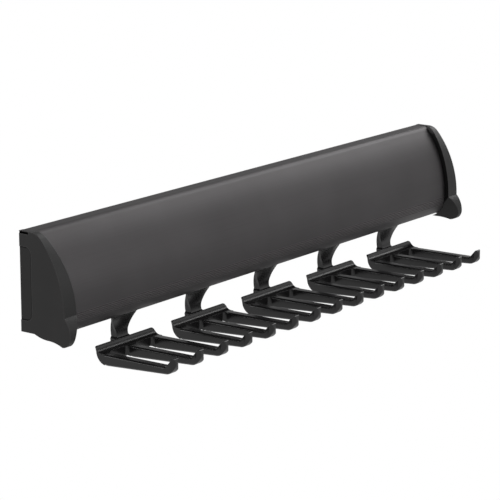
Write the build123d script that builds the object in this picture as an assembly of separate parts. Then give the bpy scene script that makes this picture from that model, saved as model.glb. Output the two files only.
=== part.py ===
from build123d import *
import os
from math import acos, asin, cos, degrees, hypot, radians, sin, sqrt

# A pull-out tie rack for the side wall of a wardrobe. X runs along the rack and -X is the
# end that is pulled, the wall is the plane Y = 0 with the room at -Y, and Z is up. While the
# pieces are drawn Z = 0 is the underside of the end caps; save() moves the origin to the
# middle of the row of wall screws. All sizes are in millimetres.

# Overall form of the rack
rack_length = 354.6
rack_height = 50.6
wall_gap = 0.3                 # moving pieces stay this far off the wall
front_depth = 28.3             # wall to the foremost line of the cap's rim
front_line_z = 10.8            # height where the front turns from rising arc to curl
shoulder_depth = 8.0           # wall to the axis of the shoulder
shoulder_radius = 8.0
curl_radius = 15.85            # of the rim's face, about an axis at the front line's height

# Aluminium cover
cap_proud = 2.4                # the caps stand this far out from the cover's face
top_step = 0.15                # and this far above its top
skin = 1.8
web = 2.0
rib = 1.5
curl_end_angle = 48.5          # below the horizontal, where the skin meets its lip bead
lip_radius = 1.3
floor_bottom_z = 1.5
channel_floor_z = 3.3          # ledges that carry the heads of the hooks
channel_height = 2.8
ledge_back_depth = 13.9        # wall to the front edge of the channel's back ledge
groove_count = 5
groove_pitch = 1.0
groove_radius = 0.33
groove_start = 0.6             # front line to the first groove, in groove pitches

# End caps
cap_plate = 2.8
rim_width = 9.3                # cap's outer face to the rim's edge where the rim is widest
rim_widest_z = 8.0
rim_bow_radius = 170.0         # the edge bows back towards the top
rim_start_depth = 9.0          # the rim fades out behind this depth
ear_depth = 32.2
ear_radius = 5.4
ear_bottom_z = -3.9
ear_edge = 3.9                 # thickness of the ear's outer edge
foot_flat = 9.0                # flat underside at the back of a cap
notch_depth = 7.6
notch_bottom_z = 6.0
notch_height = 36.8
notch_corner = 3.5
slot_depth = 5.9
slot_height = 1.05
slot_skin = 0.3
slot_recess = 2.2
spigot_length = 5.0
spigot_wall = 1.5
fit_gap = 0.1                  # between pieces that push together
spare = 0.3                    # cuts run this far past the faces they open
plug_thickness = 1.8
plug_recess = 0.3

# Ball slide, three members
ball_radius = 1.1
race_gap = 0.04                # radial play of a ball in its race
outer_sheet = 1.2
moving_sheet = 1.0
cage_sheet = 0.4
cage_gap = 0.25                # on either side of a cage
cage_flange = 1.6              # the cage reaches this far past its balls
pocket_gap = 0.06
slide_height = 35.4
slide_rear_gap = 1.9           # fixed member's rear end to the rear cap's outer face
cage_length = 150.0
cage_bar = 12.0                # solid bar at each end of a cage
cage_rail = 5.0
balls_per_row = 4
ball_margin = 6.0              # cage end to the first ball
race_end_angle = 35.0          # outer race stops this far above the horizontal
wrap_angle = 30.0              # a race reaches this far round the back of its balls
step_angle = 40.0              # turn of the middle member between its two races
middle_end_angle = 8.0
middle_bend = 0.6
inner_front_angle = 45.0
inner_bend = 1.0
wall_hole_radius = 2.3
wall_hole_pitch = 256.0
wall_hole_count = 2
access_hole_radius = 4.5
end_play = 0.3
middle_setback = 0.5
inner_setback = 1.0            # inner member's ends inside the cover's ends
stop_setback = 17.1            # fixed member's front end to the face of its stop
stop_thickness = 1.0
stop_height = 4.0
stop_z = 8.0                   # above the middle of the slide
stop_gap = 0.15
bumper_length = 4.2
bumper_base = 2.0
bumper_nose = 5.6
bumper_nose_height = 18.0
screw_radius = 1.48
screw_head_radius = 3.0
screw_head_height = 1.6
screw_length = 4.6
screw_end_margin = 33.3        # rack's end to the first screw
screw_count = 4
thread_gap = 0.02

# Hooks
hook_count = 5
hook_end_margin = 57.3         # rack's end to the middle of the first hook
prong_count = 3
prong_pitch = 20.0
prong_width = 5.5
prong_edge = 1.0               # rounding along the top edges
prong_under_edge = 0.7         # bevel along the bottom edges
prong_top_z = -15.9
prong_rise = 0.4               # the prongs' tops climb this much towards the tips
heel_depth = 18.3
heel_radius = 6.8
heel_z = -14.7
heel_lean = -5.0               # the heel's arc ends this far below the horizontal
upstand_top_z = -12.5
upstand_back_depth = 17.1
upstand_thickness = 1.1
upstand_round = 0.4
upstand_corner = 2.0
trough_radius = 4.1            # between the upstand and the prongs' tops
gap_root_depth = 21.5
gap_corner = 2.0
tip_depth = 67.5
tip_radius = 5.5
tip_z = -13.7
tip_top_z = -11.0
tip_thickness = 1.4
tip_bend_depth = 62.1
tip_bend_radius = 2.6
tip_round = 0.6
tip_lean = 0.3                 # the tip's front leans back this much
stem_half_width = 4.32
stem_foot_half_width = 5.4
stem_curve_y = -30.05          # axis of the stem's hollow front
stem_curve_z = -8.5
stem_front_radius = 14.05
stem_thickness = 3.9
stem_foot_z = -13.5
stem_foot_radius = 8.0
stem_top_round = 0.3
flange_thickness = 1.3         # flared skin on the front of the neck
flare_low_z = -9.6
flare_high_z = -1.6
flare_fillet = 6.0
neck_bottom_z = -0.5
head_width = 17.6
head_gap = 0.3
seat_gap = 0.05
nib_size = 4.0
nib_height = 1.6
nib_length = 0.9
nib_gap = 0.2

# Places worked out from the sizes above
shoulder_run = front_depth - shoulder_depth
shoulder_rise = rack_height - shoulder_radius - front_line_z
front_radius = (shoulder_run ** 2 + shoulder_rise ** 2 - shoulder_radius ** 2) / (shoulder_run - shoulder_radius) / 2
front_centre_y = front_radius - front_depth
curl_centre_y = curl_radius - front_depth
cover_top_z = rack_height - top_step
slide_z = notch_bottom_z + notch_height / 2
cap_inner_x = rack_length / 2 - cap_plate
cover_half = cap_inner_x - fit_gap
roof_z = channel_floor_z + channel_height
race_radius = ball_radius + race_gap
race_middle = race_radius + moving_sheet / 2
outer_ball_z = slide_height / 2 - outer_sheet - race_radius
cage_1_y = -(outer_sheet + cage_gap + cage_sheet / 2)
middle_web_y = cage_1_y - cage_sheet / 2 - cage_gap - moving_sheet / 2
cage_2_y = middle_web_y - moving_sheet / 2 - cage_gap - cage_sheet / 2
outer_ball_y = middle_web_y - middle_bend - (race_middle + middle_bend) * sin(radians(wrap_angle))
inner_ball_y = outer_ball_y - 2 * race_middle * sin(radians(step_angle))
inner_ball_z = outer_ball_z - 2 * race_middle * cos(radians(step_angle))
front_turn_y = inner_ball_y - (race_middle + inner_bend) * sin(radians(inner_front_angle))
front_turn_z = inner_ball_z - (race_middle + inner_bend) * cos(radians(inner_front_angle))
inner_web_y = front_turn_y - inner_bend
web_back_y = inner_web_y - moving_sheet / 2
web_front_y = web_back_y - web
slide_front_x = -rack_length / 2 + plug_recess + plug_thickness + end_play
slide_rear_x = rack_length / 2 - slide_rear_gap
middle_front_x = slide_front_x + middle_setback
middle_rear_x = slide_rear_x - bumper_length - end_play
inner_half = cover_half - inner_setback
stop_x = -slide_front_x - stop_setback
travel = 2 * (stop_x - end_play - cage_length / 2)
hook_pitch = (rack_length - 2 * hook_end_margin) / (hook_count - 1)
screw_pitch = (rack_length - 2 * screw_end_margin) / (screw_count - 1)
tray_half = (prong_count - 1) * prong_pitch / 2 + prong_width / 2


def save(name, shape):
    """Write one node with the origin at the middle of the wall screws."""
    os.makedirs("parts", exist_ok=True)
    export_step(Pos(0, 0, -slide_z) * shape, f"parts/{name}.step")


def polar(centre, radius, angle):
    """Point at an angle in degrees, measured from +Y towards +Z."""
    return centre[0] + radius * cos(radians(angle)), centre[1] + radius * sin(radians(angle))


def arc(centre, radius, start, end):
    return ThreePointArc(
        polar(centre, radius, start),
        polar(centre, radius, (start + end) / 2),
        polar(centre, radius, end),
    )


def along_x(face, start, end):
    """Extrude a face drawn in Y and Z from one X to another."""
    return extrude(Plane.YZ.offset(start) * face, amount=end - start)


def box_yz(y0, y1, z0, z1):
    return Pos((y0 + y1) / 2, (z0 + z1) / 2) * Rectangle(abs(y1 - y0), abs(z1 - z0))


# Front curve of the cover and the caps

def front_curve(inset, top_z, end_angle):
    """Flat top, shoulder, long front arc and curl, from the back edge to the curl's end."""
    radius = front_radius - inset
    fillet_r = shoulder_radius - inset
    shoulder_z = top_z - fillet_r
    rise = shoulder_z - front_line_z
    shoulder_y = front_centre_y - sqrt((radius - fillet_r) ** 2 - rise ** 2)
    meet_angle = 180 - degrees(asin(rise / (radius - fillet_r)))
    return [
        Line((-wall_gap, top_z), (shoulder_y, top_z)),
        arc((shoulder_y, shoulder_z), fillet_r, 90, meet_angle),
        arc((front_centre_y, front_line_z), radius, meet_angle, 180),
        arc((curl_centre_y, front_line_z), curl_radius - inset, 180, 180 + end_angle),
    ]


def filled_curve(inset, top_z, end_angle):
    """The area behind a front curve, back to the wall gap."""
    edges = front_curve(inset, top_z, end_angle)
    tail = edges[-1] @ 1
    closing = Polyline(tail, (-wall_gap, tail.Y), (-wall_gap, top_z))
    return make_face(edges + [closing])


# Cover

def row(count, pitch):
    """Places of an evenly spaced row about zero."""
    return [(number - (count - 1) / 2) * pitch for number in range(count)]


def lip_bead():
    """Centre of the bead that ends the cover's curl."""
    return polar((curl_centre_y, front_line_z), curl_radius - cap_proud - lip_radius, 180 + curl_end_angle)


def cover_section():
    outside = front_curve(cap_proud, cover_top_z, curl_end_angle)
    inside = front_curve(cap_proud + skin, cover_top_z - skin, curl_end_angle)
    ends = [Line(outside[0] @ 0, inside[0] @ 0), Line(outside[-1] @ 1, inside[-1] @ 1)]
    section = make_face(outside + inside + ends)
    curl = (curl_centre_y, front_line_z)
    face_radius = curl_radius - cap_proud
    bead = lip_bead()
    section += Pos(*bead) * Circle(lip_radius)
    section += box_yz(bead[0] + lip_radius, bead[0] - lip_radius, bead[1], channel_floor_z)
    section += box_yz(-wall_gap, -ledge_back_depth, floor_bottom_z, channel_floor_z)
    web_area = box_yz(web_back_y, web_front_y, floor_bottom_z, cover_top_z)
    section += web_area & filled_curve(cap_proud + skin / 2, cover_top_z - skin / 2, 89)
    roof_front = curl_centre_y - face_radius + skin * 3 / 4
    section += box_yz(web_front_y, roof_front, roof_z, roof_z + rib)
    for number in range(groove_count):
        angle = 180 + degrees((number + groove_start) * groove_pitch / face_radius)
        section -= Pos(*polar(curl, face_radius, angle)) * Circle(groove_radius)
    return section


def cover():
    body = along_x(cover_section(), -cover_half, cover_half)
    nib_z = channel_floor_z + channel_height / 2
    for x in row(hook_count, hook_pitch):
        hole = Box(nib_size + 2 * nib_gap, 2 * web, nib_height + 2 * nib_gap)
        body -= Pos(x, web_front_y + web / 2, nib_z) * hole
    for x in row(screw_count, screw_pitch):
        body -= Pos(x, web_front_y + web / 2, slide_z) * Rot(90, 0, 0) * Cylinder(screw_radius + thread_gap, 2 * web)
    return body


# End caps

def cap_outline():
    """Front curve, ear and S-shaped underside."""
    curve = front_curve(0, rack_height, 1)[:3]
    ear_centre = (ear_radius - ear_depth, ear_bottom_z + ear_radius)
    reach = ear_depth - front_depth
    drop = front_line_z - ear_centre[1]
    side_radius = (reach ** 2 + drop ** 2) / (2 * reach)
    side = arc((side_radius - ear_depth, ear_centre[1]), side_radius, 180 - degrees(asin(drop / side_radius)), 180)
    ear = arc(ear_centre, ear_radius, 180, 270)
    bottom = ear_centre[0], ear_bottom_z
    middle = (bottom[0] - foot_flat) / 2, ear_bottom_z / 2
    run = bottom[0] + foot_flat
    bend_radius = (run ** 2 + ear_bottom_z ** 2) / (-4 * ear_bottom_z)
    sweep = [
        RadiusArc(bottom, middle, bend_radius),
        RadiusArc(middle, (-foot_flat, 0), -bend_radius),
    ]
    back = Polyline((-foot_flat, 0), (-wall_gap, 0), (-wall_gap, rack_height))
    return make_face(curve + [side, ear] + sweep + [back])


def notch_area(inset):
    """The opening at a cap's back edge that lets the slide pass."""
    area = box_yz(
        -wall_gap,
        -(notch_depth - inset),
        notch_bottom_z + inset,
        notch_bottom_z + notch_height - inset,
    )
    front = area.vertices().sort_by(Axis.X)[:2]
    return fillet(front, notch_corner - inset)


def upper_cavity(inset):
    area = filled_curve(cap_proud + skin, cover_top_z - skin, 89)
    area &= box_yz(web_front_y, -front_depth, roof_z + rib, rack_height)
    return offset(area, amount=-inset, kind=Kind.INTERSECTION)


def cap():
    """The cap at the +X end."""
    outer_x = rack_length / 2
    rim_x = outer_x - rim_width
    clear_of_cover = filled_curve(cap_proud - fit_gap, cover_top_z + fit_gap, 88)
    rim_area = cap_outline() - clear_of_cover
    rim_area &= box_yz(-rim_start_depth, -2 * front_depth, 2 * ear_bottom_z, rack_height)
    rim_area -= box_yz(0, curl_centre_y - ear_edge, 2 * ear_bottom_z, floor_bottom_z)
    body = along_x(rim_area, rim_x, cap_inner_x)

    # the rim's edge bows away from the cover towards the top
    bow = Pos(rim_x + rim_bow_radius, -ear_depth, rim_widest_z) * Rot(90, 0, 0)
    body &= bow * Cylinder(rim_bow_radius, 4 * ear_depth)

    # the inside of the ear is scooped away from the rim's edge to the ear's thin edge
    corner = Vector(rim_x, -front_depth, front_line_z)
    ear_tip = Vector(outer_x - ear_edge, -ear_depth, ear_bottom_z + ear_radius)
    ear_root = Vector(rim_x, curl_centre_y - curl_radius / 2, 0)
    scoop = (ear_tip - corner).cross(ear_root - corner)
    body = split(body, bisect_by=Plane(origin=corner, z_dir=scoop), keep=Keep.TOP)

    body += along_x(cap_outline(), cap_inner_x, outer_x)
    spigot = upper_cavity(fit_gap) - upper_cavity(fit_gap + spigot_wall)
    body += along_x(spigot, cap_inner_x - spigot_length, cap_inner_x)
    body -= along_x(notch_area(0), cap_inner_x, outer_x)
    slot_top = rack_height - slot_skin
    slot = box_yz(-wall_gap, -wall_gap - slot_depth, slot_top - slot_height, slot_top)
    return body - along_x(slot, outer_x - slot_recess, outer_x)


def notch_plug():
    """Blanking plate in the front cap's notch."""
    outer_x = rack_length / 2 - plug_recess
    return along_x(notch_area(fit_gap), -outer_x, -outer_x + plug_thickness)


# Slide

def sheet(path, thickness):
    """A folded sheet: half a section from the mid-height outwards, mirrored about it."""
    wire = Wire([edge.mirror(Plane.XZ) for edge in path] + path)
    return Pos(0, slide_z) * make_face(wire.offset_2d(thickness / 2, side=Side.BOTH))


def outer_section():
    middle = outer_sheet / 2
    race = race_radius + middle
    corner = race_radius
    top = outer_ball_z + race
    path = [
        Line((-middle, 0), (-middle, top - corner)),
        arc((-middle - corner, top - corner), corner, 0, 90),
        Line((-middle - corner, top), (outer_ball_y, top)),
        arc((outer_ball_y, outer_ball_z), race, 90, 180 - race_end_angle),
    ]
    return sheet(path, outer_sheet)


def middle_section():
    back = 270 + wrap_angle
    step = 270 - step_angle
    bend = polar((outer_ball_y, outer_ball_z), race_middle + middle_bend, back)
    path = [
        Line((middle_web_y, 0), (middle_web_y, bend[1])),
        arc(bend, middle_bend, 0, back - 180),
        arc((outer_ball_y, outer_ball_z), race_middle, back, step),
        arc((inner_ball_y, inner_ball_z), race_middle, step - 180, 90 + middle_end_angle),
    ]
    return sheet(path, moving_sheet)


def inner_section():
    front = 270 - inner_front_angle
    path = [
        Line((inner_web_y, 0), (inner_web_y, front_turn_z)),
        arc((front_turn_y, front_turn_z), inner_bend, 180, front - 180),
        arc((inner_ball_y, inner_ball_z), race_middle, front, 270 + wrap_angle),
    ]
    return sheet(path, moving_sheet)


def cage_section(web_y, ball_y, ball_z):
    corner = 2 * cage_sheet
    path = [
        Line((web_y, 0), (web_y, ball_z - corner)),
        arc((web_y - corner, ball_z - corner), corner, 0, 90),
        Line((web_y - corner, ball_z), (ball_y - cage_flange, ball_z)),
    ]
    return sheet(path, cage_sheet)


def bore(x, radius):
    """Drill for a hole along Y at the mid-height of the slide."""
    return Pos(x, 0, slide_z) * Rot(90, 0, 0) * Cylinder(radius, 2 * ear_depth)


def stop(x, root_y, end_y):
    """Lanced tab that stands across the path of a cage."""
    height = Pos(0, 0, slide_z + stop_z)
    return height * Pos(x, (root_y + end_y) / 2, 0) * Box(stop_thickness, abs(end_y - root_y), stop_height)


def outer_member():
    body = along_x(outer_section(), slide_front_x, slide_rear_x)
    middle_back = middle_web_y + moving_sheet / 2
    body += stop(-stop_x - stop_thickness / 2, -outer_sheet / 2, middle_back + stop_gap)
    for x in row(wall_hole_count, wall_hole_pitch):
        body -= bore(x, wall_hole_radius)
    return body


def middle_member():
    body = along_x(middle_section(), middle_front_x, middle_rear_x)
    body += stop(stop_x + stop_thickness / 2, middle_web_y, -outer_sheet - stop_gap)
    cage_2_front = cage_2_y - cage_sheet / 2
    body += stop(-stop_x - stop_thickness / 2, middle_web_y, cage_2_front - stop_gap)
    # the front wall screw is reached through this hole with the rack pulled right out
    return body - bore(travel - wall_hole_pitch / 2, access_hole_radius)


def inner_member():
    body = along_x(inner_section(), -inner_half, inner_half)
    middle_front = middle_web_y - moving_sheet / 2
    body += stop(stop_x + stop_thickness / 2, inner_web_y, middle_front - stop_gap)
    for x in row(screw_count, screw_pitch):
        body -= bore(x, screw_radius + fit_gap)
    return body


def ball_places(ball_y, ball_z):
    pitch = (cage_length - 2 * ball_margin) / (balls_per_row - 1)
    rows = (slide_z - ball_z, slide_z + ball_z)
    return [Pos(x, ball_y, z) for x in row(balls_per_row, pitch) for z in rows]


def cage(web_y, ball_y, ball_z):
    body = along_x(cage_section(web_y, ball_y, ball_z), -cage_length / 2, cage_length / 2)
    window = Box(cage_length - 2 * cage_bar, 2 * cage_gap + cage_sheet, 2 * (ball_z - cage_rail))
    body -= Pos(0, web_y, slide_z) * window
    for place in ball_places(ball_y, ball_z):
        body -= place * Cylinder(ball_radius + pocket_gap, 4 * cage_sheet)
    return body


def balls(ball_y, ball_z):
    return Compound([place * Sphere(ball_radius) for place in ball_places(ball_y, ball_z)])


def rear_bumper():
    """Block at the wall end of the fixed member; the middle member runs against it."""
    x = slide_rear_x - bumper_length / 2
    back = -outer_sheet - fit_gap
    half = outer_ball_z + race_radius - fit_gap
    base = box_yz(back, back - bumper_base, slide_z - half, slide_z + half)
    base = fillet(base.vertices().sort_by(Axis.X)[-2:], race_radius)
    nose_half = bumper_nose_height / 2
    nose = box_yz(back, back - bumper_nose, slide_z - nose_half, slide_z + nose_half)
    return along_x(base + nose, x - bumper_length / 2, x + bumper_length / 2)


def slide_screws():
    seat_y = inner_web_y + moving_sheet / 2
    shank_centre_y = seat_y - screw_length / 2
    screws = []
    for x in row(screw_count, screw_pitch):
        head = Pos(x, seat_y + screw_head_height / 2, slide_z) * Rot(90, 0, 0)
        head = head * Cylinder(screw_head_radius, screw_head_height)
        shank = Pos(x, shank_centre_y, slide_z) * Rot(90, 0, 0) * Cylinder(screw_radius, screw_length)
        screws.append(head + shank)
    return Compound(screws)


# Hooks

def underside(heel_end):
    """Down the front of a tip, back under the prong and round the heel to an angle."""
    heel = (-heel_depth - heel_radius, heel_z)
    tip = (tip_radius - tip_depth, tip_z)
    run = heel[0] - tip[0]
    rise = tip[1] - heel[1]
    slope = degrees(asin((heel_radius - tip_radius) / hypot(run, rise)) + asin(rise / hypot(run, rise)))
    low = -90 - slope
    return [
        arc(tip, tip_radius, -180, low),
        Line(polar(tip, tip_radius, low), polar(heel, heel_radius, low)),
        arc(heel, heel_radius, low, heel_end),
    ]


def tip_corners():
    """Front and back corner of a tip's top, before rounding, and the bend at its foot."""
    front = (tip_lean - tip_depth, tip_top_z)
    back = (front[0] + tip_thickness, tip_top_z)
    return front, back, (-tip_bend_depth, prong_top_z + prong_rise)


def tray_profile():
    """Side view of the prongs, their turned-up tips and the upstand behind them."""
    lower = underside(heel_lean)
    heel_back = lower[-1] @ 1
    trough = (-upstand_back_depth - upstand_thickness - trough_radius, prong_top_z)
    top_back = (-upstand_back_depth, upstand_top_z - upstand_thickness / 2)
    top_front = (top_back[0] - upstand_thickness, top_back[1])
    front, back, bend = tip_corners()
    edges = lower + [
        FilletPolyline(
            lower[0] @ 0,
            front,
            back,
            bend,
            trough,
            radius=[tip_round, tip_round, tip_bend_radius],
        ),
        RadiusArc(trough, top_front, -trough_radius),
        ThreePointArc(top_front, (top_back[0] - upstand_thickness / 2, upstand_top_z), top_back),
        TangentArc(heel_back, top_back, tangent=lower[-1] % 1),
    ]
    return make_face(edges)


def tray_plan():
    """The comb of prongs from above."""
    plan = Pos(0, -gap_root_depth / 2) * Rectangle(2 * tray_half, gap_root_depth)
    length = tip_depth - gap_root_depth / 2
    for x in row(prong_count, prong_pitch):
        plan += Pos(x, -gap_root_depth / 2 - length / 2) * Rectangle(prong_width, length)
    tips = plan.vertices().filter_by_position(Axis.Y, -tip_depth - 1, -tip_depth + 1)
    plan = fillet(tips, prong_width / 2 - fit_gap)
    roots = plan.vertices().filter_by_position(Axis.Y, -gap_root_depth - 1, -gap_root_depth + 1)
    return fillet(roots, gap_corner)


def corner_waste(size):
    """Section of what is cut off a square edge at the origin: a corner of this size, not yet shaped."""
    return Pos((spare - size) / 2, (spare - size) / 2) * Rectangle(size + spare, size + spare)


def round_waste(radius):
    return corner_waste(radius) - Pos(-radius, -radius) * Circle(radius)


def bevel_waste(size):
    return corner_waste(size) - make_face(Polyline((-size, -size), (0, -size), (-size, 0), close=True))


def edge_cut(path, side, waste):
    """Waste along the edge that a path follows; side is the X way out of the prong."""
    start = Plane(origin=path @ 0, x_dir=(side, 0, 0), z_dir=(path % 0) * side)
    return sweep(start * waste, path)


def prong_rounding():
    """Waste along the top and bottom edges of every prong, tips included."""
    front, back, bend = tip_corners()
    climb = (back[0] - bend[0]) / (back[1] - bend[1])
    over_tip = (back[0] + spare * climb, back[1] + spare)
    gap_end = -gap_root_depth - gap_corner
    top = FilletPolyline((gap_end, prong_top_z), bend, over_tip, radius=tip_bend_radius)
    heel_end = -degrees(acos((gap_end + heel_depth + heel_radius) / heel_radius))
    lower = underside(heel_end)
    down_front = Line((lower[0] @ 0) + Vector(0, tip_top_z + spare - tip_z), lower[0] @ 0)
    bottom = Wire([down_front] + lower)
    waste = []
    for x in row(prong_count, prong_pitch):
        for side in (-1, 1):
            place = Pos(x + side * prong_width / 2, 0, 0) * Plane.YZ.location
            waste.append(edge_cut(place * top, side, round_waste(prong_edge)))
            waste.append(edge_cut(place * bottom, side, bevel_waste(prong_under_edge)))
    return waste


def tray():
    body = extrude(Pos(0, 0, -2 * ear_depth) * tray_plan(), amount=2 * ear_depth)
    body &= along_x(tray_profile(), -tray_half, tray_half)
    for side in (-1, 1):
        corner = Pos(side * tray_half, 0, upstand_top_z) * Box(2 * upstand_corner, 2 * ear_depth, 2 * upstand_corner)
        axis = Pos(side * (tray_half - upstand_corner), 0, upstand_top_z - upstand_corner) * Rot(90, 0, 0)
        corner -= axis * Cylinder(upstand_corner, 4 * ear_depth)
        corner &= Pos(0, -gap_root_depth / 2, upstand_top_z) * Box(3 * tray_half, gap_root_depth, 2 * upstand_corner)
        body -= corner
    for waste in prong_rounding():
        body -= waste
    return body


def neck_outline(half_foot, half_neck, half_top):
    """Front view of the neck: wider at the foot, straight, then flared towards the cover."""
    outline = [
        (half_foot, 2 * prong_top_z),
        (half_foot, stem_foot_z + stem_top_round),
        (half_neck, upstand_top_z + upstand_round),
        (half_neck, flare_low_z),
        (half_top, flare_high_z),
        (half_top, 0),
    ]
    mirrored = [(-x, z) for x, z in reversed(outline)]
    return Polyline(*outline, *mirrored, close=True)


def stem():
    """Neck of a hook, C-shaped from the side, with a thin flared flange on its front."""
    centre = (stem_curve_y, stem_curve_z)
    back_radius = stem_front_radius + stem_thickness
    flange_radius = stem_front_radius + flange_thickness
    high = neck_bottom_z - stem_curve_z
    low = stem_foot_z - stem_curve_z
    foot_angle = degrees(asin(low / back_radius))
    foot = polar(centre, back_radius, foot_angle)
    foot_centre = (foot[0] - stem_foot_radius, foot[1])
    upstand_angle = degrees(asin((upstand_top_z - stem_curve_z) / stem_front_radius))
    front = arc(centre, stem_front_radius, degrees(asin(high / stem_front_radius)), upstand_angle)
    back = arc(centre, back_radius, foot_angle, degrees(asin(high / back_radius)))
    inner = Polyline(
        front @ 1,
        (-upstand_back_depth - upstand_thickness / 2, upstand_top_z - upstand_round),
        (-heel_depth - 1, prong_top_z),
        (foot_centre[0], prong_top_z - 1),
        (foot_centre[0], foot[1] - stem_foot_radius),
    )
    profile = make_face([front, inner, arc(foot_centre, stem_foot_radius, -90, 0), back, Line(back @ 1, front @ 0)])
    straight = make_face(neck_outline(stem_foot_half_width, stem_half_width, stem_half_width))
    body = along_x(profile, -head_width, head_width) & extrude(Plane.XZ * straight, amount=2 * ear_depth)

    flange_back = arc(centre, flange_radius, upstand_angle, degrees(asin(high / flange_radius)))
    ends = [Line(front @ 1, flange_back @ 0), Line(flange_back @ 1, front @ 0)]
    flange = along_x(make_face([front, flange_back] + ends), -head_width, head_width)
    flared = make_face(neck_outline(stem_half_width, stem_half_width, head_width / 2))
    corners = flared.vertices().filter_by_position(Axis.Y, flare_low_z - 1, flare_low_z + 1)
    flared = fillet(corners, flare_fillet)
    return body + (flange & extrude(Plane.XZ * flared, amount=2 * ear_depth))


def hook():
    neck_back = -ledge_back_depth - head_gap
    neck_front = lip_bead()[0] + lip_radius + head_gap
    neck = box_yz(neck_back, neck_front, neck_bottom_z, channel_floor_z + 1)
    head_back = web_front_y - head_gap
    head_front = neck_front - (neck_back - head_back)
    head = box_yz(head_back, head_front, channel_floor_z + seat_gap, roof_z - head_gap)
    block = along_x(neck + head, -head_width / 2, head_width / 2)
    nib_z = channel_floor_z + channel_height / 2
    nib = Pos(0, head_back + nib_length / 2, nib_z) * Box(nib_size, nib_length, nib_height)
    return tray() + stem() + block + nib


save("outer_member", outer_member())
save("rear_bumper", rear_bumper())
save("outer_cage", cage(cage_1_y, outer_ball_y, outer_ball_z))
save("outer_balls", balls(outer_ball_y, outer_ball_z))
save("middle_member", middle_member())
save("inner_cage", cage(cage_2_y, inner_ball_y, inner_ball_z))
save("inner_balls", balls(inner_ball_y, inner_ball_z))
save("inner_member", inner_member())
save("slide_screws", slide_screws())
save("cover", cover())
save("rear_cap", cap())
save("front_cap", cap().mirror(Plane.YZ))
save("notch_plug", notch_plug())
for number, centre in enumerate(row(hook_count, hook_pitch), start=1):
    save(f"hook_{number}", Pos(centre, 0, 0) * hook())
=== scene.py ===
import bpy
import bmesh
from math import radians
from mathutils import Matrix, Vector


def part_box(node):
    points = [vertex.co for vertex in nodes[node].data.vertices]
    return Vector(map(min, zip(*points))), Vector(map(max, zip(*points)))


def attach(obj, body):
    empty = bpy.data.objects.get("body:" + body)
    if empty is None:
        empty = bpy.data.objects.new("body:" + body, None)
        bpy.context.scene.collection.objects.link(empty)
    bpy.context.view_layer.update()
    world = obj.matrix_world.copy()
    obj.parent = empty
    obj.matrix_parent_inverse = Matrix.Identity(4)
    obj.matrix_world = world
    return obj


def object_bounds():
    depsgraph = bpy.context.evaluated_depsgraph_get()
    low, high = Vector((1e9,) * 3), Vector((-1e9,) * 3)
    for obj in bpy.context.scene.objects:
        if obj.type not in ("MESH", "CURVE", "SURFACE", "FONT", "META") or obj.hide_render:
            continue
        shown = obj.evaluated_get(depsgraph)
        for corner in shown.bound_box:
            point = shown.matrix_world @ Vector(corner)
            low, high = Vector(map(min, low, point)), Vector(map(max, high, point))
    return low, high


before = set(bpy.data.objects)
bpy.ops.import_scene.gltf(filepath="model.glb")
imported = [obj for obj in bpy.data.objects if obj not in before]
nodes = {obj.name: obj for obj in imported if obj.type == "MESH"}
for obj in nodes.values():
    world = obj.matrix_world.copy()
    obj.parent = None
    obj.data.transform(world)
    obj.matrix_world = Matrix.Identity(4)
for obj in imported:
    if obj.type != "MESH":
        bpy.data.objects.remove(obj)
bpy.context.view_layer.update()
print("frame loaded,", len(nodes), "nodes")

mm = 0.001                      # a millimetre in Blender's metres
white = (1.0, 1.0, 1.0, 1.0)
plainWhite = {"Color": white, "Strength": 1.0}  # a strength of 1 shows as white

# a Mix node takes its two colours at sockets 6 and 7 and gives the mixed one at 2
colourMix = {"data_type": "RGBA"}
colourA, colourB, colourOut = 6, 7, 2


# colours are written as sRGB hex and turned to linear here
def hexColour(code):
    channels = [int(code[i:i + 2], 16) / 255 for i in (1, 3, 5)]
    linear = [c / 12.92 if c <= 0.04045 else ((c + 0.055) / 1.055) ** 2.4 for c in channels]
    return (*linear, 1.0)


# a texture's scale from the size of its pattern in millimetres
def scaleFor(size):
    return 1 / (size * mm)


# each input is a value, or a socket to link
def setInputs(tree, node, inputs):
    for name, value in inputs.items():
        if isinstance(value, bpy.types.NodeSocket):
            tree.links.new(value, node.inputs[name])
        else:
            node.inputs[name].default_value = value


# adds a node with its settings and links, and gives one of its outputs
def addNode(tree, kind, settings, inputs, output=0):
    node = tree.nodes.new(kind)
    for name, value in settings.items():
        setattr(node, name, value)
    setInputs(tree, node, inputs)
    return node.outputs[output]


# 1 where every test holds and 0 elsewhere; a test is a socket, an operation and a limit
def whereAll(tree, tests):
    mask = 1.0
    for socket, operation, limit in tests:
        test = addNode(tree, "ShaderNodeMath", {"operation": operation}, {0: socket, 1: limit})
        mask = addNode(tree, "ShaderNodeMath", {"operation": "MULTIPLY"}, {0: mask, 1: test})
    return mask


def nodeOfType(tree, kind):
    return next(node for node in tree.nodes if node.type == kind)


def newMaterial(name):
    material = bpy.data.materials.new(name)
    material.use_nodes = True
    tree = material.node_tree
    return material, tree, nodeOfType(tree, "BSDF_PRINCIPLED")


def dress(obj, material):
    obj.data.materials.clear()
    obj.data.materials.append(material)


# found by fitting the rack's corners in the photograph
camera = {
    "place": (-0.969174, -0.734933, 0.275652),
    "azimuth": -53.072,
    "elevation": 13.5675,
    "lens": 164.63,
    "sensor": 36.0,
    "clip": (0.05, 50.0),
}


def makeCamera():
    data = bpy.data.cameras.new("camera")
    data.lens = camera["lens"]
    data.sensor_width = camera["sensor"]
    data.clip_start, data.clip_end = camera["clip"]
    obj = bpy.data.objects.new("camera", data)
    obj.rotation_euler = (radians(90 - camera["elevation"]), 0, radians(camera["azimuth"]))
    obj.location = camera["place"]
    bpy.context.scene.collection.objects.link(obj)
    bpy.context.scene.camera = obj


makeCamera()
print("camera set")

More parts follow.
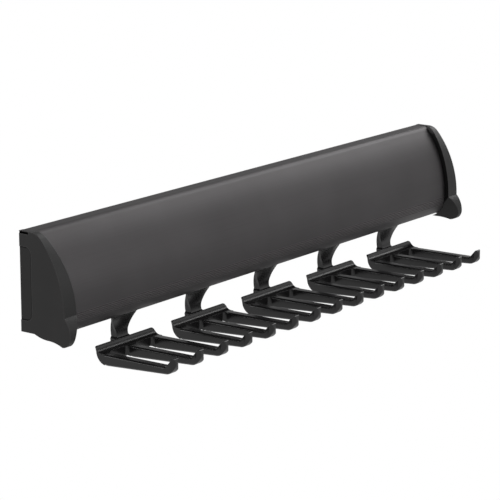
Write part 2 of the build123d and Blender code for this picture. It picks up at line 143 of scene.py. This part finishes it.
# metres and watts
studio = {
    "floorDrop": 1.4,           # so far below the rack that a view can look up at it
    "floorSize": 36.0,
    "floorColour": "#E6E6E6",
    "floorRoughness": 0.9,
    "floorGlow": 0.64,          # what glossy surfaces see of the white floor
    "roomStrength": 0.4,
    "lamps": [
        # name, place, width, height, watts; all aimed at the rack
        ("rightSoftbox", (2.2, -0.05, 1.4), 1.4, 1.4, 18.0),
        ("rightFrontSoftbox", (1.9, -1.6, 0.5), 1.2, 1.0, 1.4),
        ("frontSoftbox", (0.9, -2.1, 0.8), 1.2, 0.8, 5.5),
        ("leftBackSoftbox", (-1.9, 1.3, 0.75), 1.2, 1.0, 11.0),
        ("fillSoftbox", (-1.7, -1.5, 0.9), 0.8, 0.8, 5.0),
    ],
}


def makeWorld():
    world = bpy.data.worlds.new("studioRoom")
    bpy.context.scene.world = world
    world.use_nodes = True
    tree = world.node_tree
    # white to the camera, an even soft light to everything else
    toEye = addNode(tree, "ShaderNodeLightPath", {}, {}, "Is Camera Ray")
    soft = {"Color": white, "Strength": studio["roomStrength"]}
    room = addNode(tree, "ShaderNodeBackground", {}, soft)
    seen = addNode(tree, "ShaderNodeBackground", {}, plainWhite)
    mixed = addNode(tree, "ShaderNodeMixShader", {}, {"Fac": toEye, 1: room, 2: seen})
    setInputs(tree, nodeOfType(tree, "OUTPUT_WORLD"), {"Surface": mixed})


def seamlessPaper():
    # studio paper, matt and nearly white: a plain ground that throws a little light back up
    material, tree, shader = newMaterial("seamlessPaper")
    setInputs(tree, shader, {
        "Base Color": hexColour(studio["floorColour"]),
        "Roughness": studio["floorRoughness"],
    })
    # white to the camera, a softer white to gloss, and paper to every other ray
    toGloss = addNode(tree, "ShaderNodeLightPath", {}, {}, "Is Glossy Ray")
    toEye = addNode(tree, "ShaderNodeLightPath", {}, {}, "Is Camera Ray")
    soft = {"Color": white, "Strength": studio["floorGlow"]}
    mirrored = addNode(tree, "ShaderNodeEmission", {}, soft)
    seen = addNode(tree, "ShaderNodeEmission", {}, plainWhite)
    paper = {"Fac": toGloss, 1: shader.outputs["BSDF"], 2: mirrored}
    mixed = addNode(tree, "ShaderNodeMixShader", {}, paper)
    mixed = addNode(tree, "ShaderNodeMixShader", {}, {"Fac": toEye, 1: mixed, 2: seen})
    setInputs(tree, nodeOfType(tree, "OUTPUT_MATERIAL"), {"Surface": mixed})
    return material


def makeFloor():
    mesh = bpy.data.meshes.new("floor")
    bm = bmesh.new()
    bmesh.ops.create_grid(bm, x_segments=1, y_segments=1, size=studio["floorSize"] / 2)
    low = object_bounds()[0][2] - studio["floorDrop"]
    bmesh.ops.translate(bm, verts=bm.verts, vec=(0, 0, low))
    bm.to_mesh(mesh)
    bm.free()
    floor = bpy.data.objects.new("floor", mesh)
    bpy.context.scene.collection.objects.link(floor)
    dress(floor, seamlessPaper())


def makeLamps():
    for name, place, width, height, watts in studio["lamps"]:
        data = bpy.data.lights.new(name, "AREA")
        data.shape = "RECTANGLE"
        data.size = width
        data.size_y = height
        data.energy = watts
        lamp = bpy.data.objects.new(name, data)
        lamp.location = place
        lamp.rotation_euler = (-Vector(place)).to_track_quat("-Z", "Y").to_euler()
        bpy.context.scene.collection.objects.link(lamp)


makeWorld()
makeFloor()
makeLamps()
bpy.context.scene.view_settings.view_transform = "Standard"
print("studio lit")

fullRange = {"From Min": 0.3, "From Max": 0.7}  # most of a noise texture's values lie here
edgeRays = {"samples": 6}       # enough to round an edge smoothly

# sizes and places in mm
cover = {
    "light": "#5A5859",
    "dark": "#504E4F",
    "roughness": (0.44, 0.52),
    "dieLine": 0.5,             # width of a drawing line, about 0.1 in truth, coarser to show
    "dieLength": 90.0,          # how far a line runs
    "dieDepth": 0.002,
    "dieDetail": 3.0,           # finer lines in a line, and how strong they are
    "dieBreaks": 0.55,
    "cloud": 35.0,              # soft patches of the oxide, and their share of the tone
    "cloudShare": 0.5,
    # painted shade down in the grip grooves, and a painted highlight on the lands between them
    "groove": "#4C4A4B",
    "ridgeHighlight": "#716E6F",
    "grooveBand": (-18.65, -13.7),  # the grip grooves from bottom to top
    "grooveTop": -14.2,         # middle of the highest groove
    "groovePitch": 0.98,
    "grooveWall": (0.12, 0.3),  # the groove's side, from its middle
    "grooveFace": -24.3,        # the grooved skin is in front of this
}


def anodisedAluminium():
    # extruded and anodised dark grey: satin, with faint drawing lines along its length
    material, tree, shader = newMaterial("anodisedAluminium")
    place = addNode(tree, "ShaderNodeTexCoord", {}, {}, "Object")
    stretch = (cover["dieLine"] / cover["dieLength"], 1, 1)
    drawn = addNode(tree, "ShaderNodeMapping", {}, {"Vector": place, "Scale": stretch})
    lines = addNode(tree, "ShaderNodeTexNoise", {}, {
        "Vector": drawn,
        "Scale": scaleFor(cover["dieLine"]),
        "Detail": cover["dieDetail"],
        "Roughness": cover["dieBreaks"],
    })
    patches = {"Vector": place, "Scale": scaleFor(cover["cloud"])}
    cloud = addNode(tree, "ShaderNodeTexNoise", {}, patches)
    shares = {"Factor": cover["cloudShare"], "A": lines, "B": cloud}
    tone = addNode(tree, "ShaderNodeMix", {}, shares)
    tone = addNode(tree, "ShaderNodeMapRange", {}, fullRange | {"Value": tone})
    colours = {0: tone, colourA: hexColour(cover["dark"]), colourB: hexColour(cover["light"])}
    colour = addNode(tree, "ShaderNodeMix", colourMix, colours, colourOut)

    # grip grooves: painted shade down in them and a painted highlight on the lands between
    axes = addNode(tree, "ShaderNodeSeparateXYZ", {}, {"Vector": place}).node.outputs
    low, high = cover["grooveBand"]
    inBand = whereAll(tree, [
        (axes["Z"], "GREATER_THAN", low * mm),
        (axes["Z"], "LESS_THAN", high * mm),
        (axes["Y"], "LESS_THAN", cover["grooveFace"] * mm),
    ])
    top = {0: axes["Z"], 1: cover["grooveTop"] * mm}
    fromTop = addNode(tree, "ShaderNodeMath", {"operation": "SUBTRACT"}, top)
    halfPitch = {0: fromTop, 1: cover["groovePitch"] / 2 * mm}
    fromGroove = addNode(tree, "ShaderNodeMath", {"operation": "PINGPONG"}, halfPitch)
    near, far = cover["grooveWall"]
    wall = {"Value": fromGroove, "From Min": near * mm, "From Max": far * mm}
    landHighlight = addNode(tree, "ShaderNodeMapRange", {}, wall)
    colours = {0: landHighlight, colourA: hexColour(cover["groove"]), colourB: hexColour(cover["ridgeHighlight"])}
    grip = addNode(tree, "ShaderNodeMix", colourMix, colours, colourOut)
    colours = {0: inBand, colourA: colour, colourB: grip}
    colour = addNode(tree, "ShaderNodeMix", colourMix, colours, colourOut)

    smooth, rough = cover["roughness"]
    gloss = fullRange | {"Value": lines, "To Min": smooth, "To Max": rough}
    relief = {"Height": lines, "Distance": cover["dieDepth"] * mm}
    setInputs(tree, shader, {
        "Base Color": colour,
        "Metallic": 1.0,
        "Roughness": addNode(tree, "ShaderNodeMapRange", {}, gloss),
        "Normal": addNode(tree, "ShaderNodeBump", {}, relief),
    })
    return material


# sizes and places in mm
caps = {
    "colour": "#171616",
    "worn": "#1C1B1B",
    "roughness": (0.42, 0.5),
    "specular": 0.42,
    "spark": 0.45,              # grain of the eroded mould, about 0.1 in truth, coarser to show
    "sparkDepth": 0.012,
    "cloud": 12.0,
    "edge": 0.5,                # soft edge left by the mould
    "paintedEdgeHighlight": 0.9,                # width of the painted highlight along the edges
    "paintedEdgeHighlightRange": (0.6, 0.99),   # cosine of the rounded edge from full painted highlight to none
    "edgeHighlightColour": "#4A4849",       # the painted highlight along the edges, a little lighter
    # painted shadow colours for the rim's inner wall and the end slot, and the specular level
    # there
    "rimShadow": "#1B1B1B",
    "slotShadow": "#080808",
    "shadowGloss": 0.12,
    "rimStart": (167.5, 172.5),  # the rim's inner wall over the cover's end, from the middle
    "rimFacing": -0.85,         # it looks back along the rack
    "slotStart": 175.0,         # the slot in the cap's end, from the middle
    "slotFloor": (24.8, 26.0),
    "slotDepth": 6.25,          # in from the wall
}


def mouldedAbs():
    # moulded ABS caps, fine spark texture: matt charcoal with soft edges, a painted highlight on
    # the edges, and painted shadow in the rim's inner wall and the end slot
    material, tree, shader = newMaterial("mouldedAbs")
    place = addNode(tree, "ShaderNodeTexCoord", {}, {}, "Object")
    spark = {"Vector": place, "Scale": scaleFor(caps["spark"])}
    grain = addNode(tree, "ShaderNodeTexNoise", {}, spark)
    patches = {"Vector": place, "Scale": scaleFor(caps["cloud"])}
    cloud = addNode(tree, "ShaderNodeTexNoise", {}, patches)
    tone = addNode(tree, "ShaderNodeMapRange", {}, fullRange | {"Value": cloud})
    colours = {0: tone, colourA: hexColour(caps["colour"]), colourB: hexColour(caps["worn"])}
    colour = addNode(tree, "ShaderNodeMix", colourMix, colours, colourOut)

    # outer edges get a painted highlight: lighter where the rounded normal leaves the real one
    rounded = addNode(tree, "ShaderNodeBevel", edgeRays, {"Radius": caps["paintedEdgeHighlight"] * mm})
    real = addNode(tree, "ShaderNodeNewGeometry", {}, {}, "Normal")
    dot = {"operation": "DOT_PRODUCT"}
    cosine = addNode(tree, "ShaderNodeVectorMath", dot, {0: rounded, 1: real}, "Value")
    full, none = caps["paintedEdgeHighlightRange"]
    paintedEdgeHighlight = addNode(tree, "ShaderNodeMapRange", {}, {
        "Value": cosine, "From Min": full, "From Max": none, "To Min": 1.0, "To Max": 0.0,
    })
    colours = {0: paintedEdgeHighlight, colourA: colour, colourB: hexColour(caps["edgeHighlightColour"])}
    colour = addNode(tree, "ShaderNodeMix", colourMix, colours, colourOut)

    # painted shadow: the rim's inner wall and the slot in the cap's end lie deep, and are painted
    # near black with little specular
    axes = addNode(tree, "ShaderNodeSeparateXYZ", {}, {"Vector": place}).node.outputs
    facing = addNode(tree, "ShaderNodeNewGeometry", {}, {}, "True Normal")
    facing = addNode(tree, "ShaderNodeSeparateXYZ", {}, {"Vector": facing}, "X")
    end = addNode(tree, "ShaderNodeMath", {"operation": "SIGN"}, {0: axes["X"]})
    outward = addNode(tree, "ShaderNodeMath", {"operation": "MULTIPLY"}, {0: facing, 1: end})
    fromMiddle = addNode(tree, "ShaderNodeMath", {"operation": "ABSOLUTE"}, {0: axes["X"]})
    near, far = caps["rimStart"]
    rimWall = whereAll(tree, [
        (outward, "LESS_THAN", caps["rimFacing"]),
        (fromMiddle, "GREATER_THAN", near * mm),
        (fromMiddle, "LESS_THAN", far * mm),
    ])
    low, high = caps["slotFloor"]
    slot = whereAll(tree, [
        (axes["Z"], "GREATER_THAN", low * mm),
        (axes["Z"], "LESS_THAN", high * mm),
        (axes["Y"], "GREATER_THAN", -caps["slotDepth"] * mm),
        (fromMiddle, "GREATER_THAN", caps["slotStart"] * mm),
    ])
    for mask, shade in ((rimWall, "rimShadow"), (slot, "slotShadow")):
        colours = {0: mask, colourA: colour, colourB: hexColour(caps[shade])}
        colour = addNode(tree, "ShaderNodeMix", colourMix, colours, colourOut)
    either = {0: rimWall, 1: slot}
    shadow = addNode(tree, "ShaderNodeMath", {"operation": "MAXIMUM"}, either)
    specular = {"Value": shadow, "To Min": caps["specular"], "To Max": caps["shadowGloss"]}

    smooth, rough = caps["roughness"]
    gloss = fullRange | {"Value": grain, "To Min": smooth, "To Max": rough}
    edge = addNode(tree, "ShaderNodeBevel", edgeRays, {"Radius": caps["edge"] * mm})
    relief = {"Height": grain, "Distance": caps["sparkDepth"] * mm, "Normal": edge}
    setInputs(tree, shader, {
        "Base Color": colour,
        "Specular IOR Level": addNode(tree, "ShaderNodeMapRange", {}, specular),
        "Roughness": addNode(tree, "ShaderNodeMapRange", {}, gloss),
        "Normal": addNode(tree, "ShaderNodeBump", {}, relief),
    })
    return material


# sizes in mm
plug = {
    "colour": "#0E0D0D",
    # painted shade in the gap round the plate
    "line": "#030303",
    "lineWidth": (0.25, 0.6),   # painted shade in the gap round the plate, drawn wider than the gap is so that it shows
    "corner": 3.0,
    "specular": 0.4,
}


def plugAbs():
    # moulded ABS plate with the caps' grain: nearly black, ringed by painted shade in the thin
    # gap round it
    material, tree, shader = newMaterial("plugAbs")
    place = addNode(tree, "ShaderNodeTexCoord", {}, {}, "Object")
    spark = {"Vector": place, "Scale": scaleFor(caps["spark"])}
    grain = addNode(tree, "ShaderNodeTexNoise", {}, spark)

    # distance in from the plate's rounded outline
    lowBox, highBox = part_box("notch_plug")
    axes = addNode(tree, "ShaderNodeSeparateXYZ", {}, {"Vector": place}).node.outputs
    minus = {"operation": "SUBTRACT"}
    fromFront = addNode(tree, "ShaderNodeMath", minus, {0: axes["Y"], 1: lowBox[1]})
    height = addNode(tree, "ShaderNodeMath", {"operation": "ABSOLUTE"}, {0: axes["Z"]})
    fromEnd = addNode(tree, "ShaderNodeMath", minus, {0: highBox[2], 1: height})
    corner = plug["corner"] * mm
    squares = 0.0
    for depth in (fromFront, fromEnd):
        short = addNode(tree, "ShaderNodeMath", minus, {0: corner, 1: depth})
        short = addNode(tree, "ShaderNodeMath", {"operation": "MAXIMUM"}, {0: short, 1: 0.0})
        square = addNode(tree, "ShaderNodeMath", {"operation": "POWER"}, {0: short, 1: 2.0})
        squares = addNode(tree, "ShaderNodeMath", {"operation": "ADD"}, {0: square, 1: squares})
    radius = addNode(tree, "ShaderNodeMath", {"operation": "SQRT"}, {0: squares})
    fromEdge = addNode(tree, "ShaderNodeMath", minus, {0: corner, 1: radius})
    # painted shade along the gap round the plate
    near, far = plug["lineWidth"]
    gapShade = addNode(tree, "ShaderNodeMapRange", {}, {
        "Value": fromEdge, "From Min": near * mm, "From Max": far * mm,
        "To Min": 1.0, "To Max": 0.0,
    })
    colours = {0: gapShade, colourA: hexColour(plug["colour"]), colourB: hexColour(plug["line"])}
    specular = {"Value": gapShade, "To Min": plug["specular"], "To Max": caps["shadowGloss"]}

    smooth, rough = caps["roughness"]
    gloss = fullRange | {"Value": grain, "To Min": smooth, "To Max": rough}
    relief = {"Height": grain, "Distance": caps["sparkDepth"] * mm}
    setInputs(tree, shader, {
        "Base Color": addNode(tree, "ShaderNodeMix", colourMix, colours, colourOut),
        "Specular IOR Level": addNode(tree, "ShaderNodeMapRange", {}, specular),
        "Roughness": addNode(tree, "ShaderNodeMapRange", {}, gloss),
        "Normal": addNode(tree, "ShaderNodeBump", {}, relief),
    })
    return material


# steels and plain mouldings: two tones in clouds, and a grain that sets gloss and relief;
# sizes in mm, and a stretch under 1 draws the grain out along the rack
plainFinishes = {
    # polished mould, black ABS: a soft gloss and a slightly wavy skin
    "glossyAbs": {
        "shader": {"IOR": 1.54},
        "tones": ("#131213", "#171617"), "cloud": 6.0,
        "grain": 9.0, "stretch": 1.0, "depth": 0.005,
        "roughness": (0.19, 0.25), "edge": 0.15,
    },
    # rolled strip, bright zinc plated: pale and cloudy, its rolling lines coarser to show
    "zincPlatedSteel": {
        "shader": {"Metallic": 1.0},
        "tones": ("#A9ACAE", "#C3C5C6"), "cloud": 6.0,
        "grain": 0.8, "stretch": 0.02, "depth": 0.004,
        "roughness": (0.24, 0.36), "edge": 0.2,
    },
    # ground and polished balls: bright points, dulled here and there by a film of grease
    "bearingSteel": {
        "shader": {"Metallic": 1.0},
        "tones": ("#CFD1D3", "#D8DADC"), "cloud": 3.0,
        "grain": 1.5, "stretch": 1.0, "depth": 0.001,
        "roughness": (0.06, 0.22), "edge": 0.1,
    },
    # zinc screws, passivated: a little warmer and duller than the slide
    "passivatedSteel": {
        "shader": {"Metallic": 1.0},
        "tones": ("#A9A8A2", "#B8B7B0"), "cloud": 1.2,
        "grain": 1.2, "stretch": 1.0, "depth": 0.004,
        "roughness": (0.3, 0.45), "edge": 0.15,
    },
    # moulded polyethylene buffer: black with a waxy sheen
    "softPolyethylene": {
        "shader": {"IOR": 1.51},
        "tones": ("#1D1C1C", "#2A2A2A"), "cloud": 2.0,
        "grain": 2.0, "stretch": 1.0, "depth": 0.02,
        "roughness": (0.45, 0.6), "edge": 0.4,
    },
}


def plainFinish(name):
    finish = plainFinishes[name]
    material, tree, shader = newMaterial(name)
    place = addNode(tree, "ShaderNodeTexCoord", {}, {}, "Object")
    patches = {"Vector": place, "Scale": scaleFor(finish["cloud"])}
    cloud = addNode(tree, "ShaderNodeTexNoise", {}, patches)
    tone = addNode(tree, "ShaderNodeMapRange", {}, fullRange | {"Value": cloud})
    dark, light = (hexColour(code) for code in finish["tones"])
    colours = {0: tone, colourA: dark, colourB: light}
    stretch = {"Vector": place, "Scale": (finish["stretch"], 1, 1)}
    rolled = addNode(tree, "ShaderNodeMapping", {}, stretch)
    streaks = {"Vector": rolled, "Scale": scaleFor(finish["grain"])}
    grain = addNode(tree, "ShaderNodeTexNoise", {}, streaks)
    smooth, rough = finish["roughness"]
    gloss = fullRange | {"Value": grain, "To Min": smooth, "To Max": rough}
    edge = addNode(tree, "ShaderNodeBevel", edgeRays, {"Radius": finish["edge"] * mm})
    relief = {"Height": grain, "Distance": finish["depth"] * mm, "Normal": edge}
    setInputs(tree, shader, finish["shader"] | {
        "Base Color": addNode(tree, "ShaderNodeMix", colourMix, colours, colourOut),
        "Roughness": addNode(tree, "ShaderNodeMapRange", {}, gloss),
        "Normal": addNode(tree, "ShaderNodeBump", {}, relief),
    })
    return material


# a node takes the finish whose word is in its name; the cages are of the members' strip
finishes = {
    "cover": anodisedAluminium(),
    "cap": mouldedAbs(),
    "notch_plug": plugAbs(),
    "hook": plainFinish("glossyAbs"),
    "balls": plainFinish("bearingSteel"),
    "slide_screws": plainFinish("passivatedSteel"),
    "rear_bumper": plainFinish("softPolyethylene"),
    "member": plainFinish("zincPlatedSteel"),
}
for name, node in nodes.items():
    kind = next((key for key in finishes if key in name), "member")
    dress(node, finishes[kind])
print("materials on")

# a thin sheet closes the slot in each cap's end on the wall side and takes the slot's painted
# shadow, so no light shows through; sizes in mm
slotShadowSheet = {
    "thickness": 0.4,
    "recess": 0.25,             # behind the cap's end
    "height": 1.07,
    "middle": 25.38,            # half way up the slot
    "edge": 0.05,
}


def closeSlotWithShadowSheet(cap):
    low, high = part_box(cap)
    side = -1 if high[0] < 0 else 1
    outer = (low[0] if side < 0 else high[0]) - side * slotShadowSheet["recess"] * mm
    inner = side * caps["slotStart"] * mm
    size = Vector((abs(outer - inner), slotShadowSheet["thickness"] * mm, slotShadowSheet["height"] * mm))
    middle = Vector(((outer + inner) / 2, high[1] - size.y / 2, slotShadowSheet["middle"] * mm))
    bm = bmesh.new()
    bmesh.ops.create_cube(bm, size=1)
    bmesh.ops.scale(bm, verts=bm.verts, vec=size)
    bmesh.ops.translate(bm, verts=bm.verts, vec=middle)
    bmesh.ops.bevel(
        bm, geom=bm.edges, offset=slotShadowSheet["edge"] * mm,
        affect="EDGES", segments=2, profile=0.5, material=-1,
    )
    mesh = bpy.data.meshes.new(cap + "_slot_shadow_sheet")
    bm.to_mesh(mesh)
    bm.free()
    piece = bpy.data.objects.new(cap + "_slot_shadow_sheet", mesh)
    bpy.context.scene.collection.objects.link(piece)
    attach(piece, "carriage")
    # the caps' finish paints this sheet in the slot's painted shadow colour
    dress(piece, finishes["cap"])


closeSlotWithShadowSheet("front_cap")
closeSlotWithShadowSheet("rear_cap")
print("slots closed")
